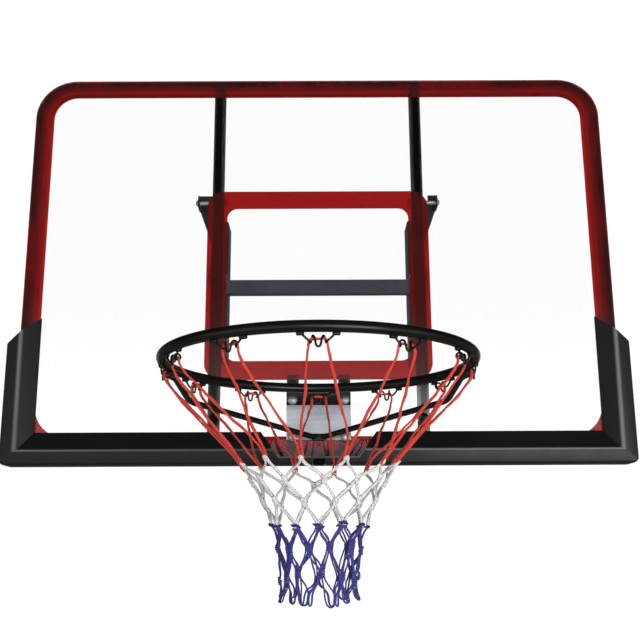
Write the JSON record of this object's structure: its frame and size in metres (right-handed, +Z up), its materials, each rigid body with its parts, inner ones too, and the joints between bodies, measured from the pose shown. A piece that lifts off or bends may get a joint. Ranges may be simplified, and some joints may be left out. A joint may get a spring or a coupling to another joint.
{
  "type": "basketball backboard",
  "caption": "Clear basketball backboard with red border and target, black steel rear frame with lift brackets, corner guards, fixed rim on a round-bar brace and a tricolour net.",
  "frame": {"origin": "middle of the common axis of the lift brackets' lower arm bores, behind the panel", "axes": "+X to the board's right as a player sees it, +Y away from the player, +Z up"},
  "size_m": [1.158, 0.668, 0.9974],
  "materials": {
    "clear_polycarbonate": "clear and glossy",
    "red_print": "screen-printed film",
    "foam_tape": "soft black foam",
    "black_powder_coat": "satin powder coat",
    "grey_black_coat": "satin powder coat",
    "black_plug": "moulded",
    "guard_plastic": "blow-moulded, satin",
    "black_rim_paint": "glossy paint",
    "zinc_plate": "bright zinc plate",
    "zinc_fastener": "zinc plated",
    "red_cord": "braided nylon",
    "white_cord": "braided nylon",
    "blue_cord": "braided nylon"
  },
  "bodies": {
    "board": {"board_panel": "clear_polycarbonate", "border_print": "red_print", "target_print": "red_print", "frame_tape": "foam_tape", "frame_hoop": "black_powder_coat", "frame_bottom_rail": "black_powder_coat", "upright_left": "black_powder_coat", "upright_right": "black_powder_coat", "rim_post_left": "black_powder_coat", "rim_post_right": "black_powder_coat", "lift_bracket_left": "black_powder_coat", "lift_bracket_right": "black_powder_coat", "cross_bar": "grey_black_coat", "frame_plugs": "black_plug", "post_caps": "black_plug", "corner_pad_left": "guard_plastic", "corner_pad_right": "guard_plastic", "pad_joiner": "guard_plastic", "rim_ring": "black_rim_paint", "neck_plate": "black_rim_paint", "neck_shelf": "black_rim_paint", "rim_brace": "black_rim_paint", "net_hooks": "black_rim_paint", "rim_plate": "zinc_plate", "rim_bolts": "zinc_fastener", "rim_washers": "zinc_fastener", "rim_nuts": "zinc_fastener", "bracket_bolts": "zinc_fastener", "bracket_nuts": "zinc_fastener", "brace_screw": "zinc_fastener", "pad_screws": "zinc_fastener", "net_red": "red_cord", "net_white": "white_cord", "net_upper_ties": "white_cord", "net_white_knots": "white_cord", "net_blue": "blue_cord", "net_lower_ties": "blue_cord", "net_blue_knots": "blue_cord", "net_loop_ends": "blue_cord"},
    "pivot_left": {"pivot_bolt_left": "zinc_fastener", "pivot_nut_left": "zinc_fastener"},
    "pivot_right": {"pivot_bolt_right": "zinc_fastener", "pivot_nut_right": "zinc_fastener"}
  },
  "joints": [
    {"name": "left_pivot_turn", "type": "hinge", "parent": "board", "child": "pivot_left", "pos_m": [-0.208, -0.06, 0.278], "axis": [1, 0, 0], "continuous": true},
    {"name": "right_pivot_turn", "type": "hinge", "parent": "board", "child": "pivot_right", "pos_m": [0.208, -0.06, 0.278], "axis": [1, 0, 0], "continuous": true}
  ]
}
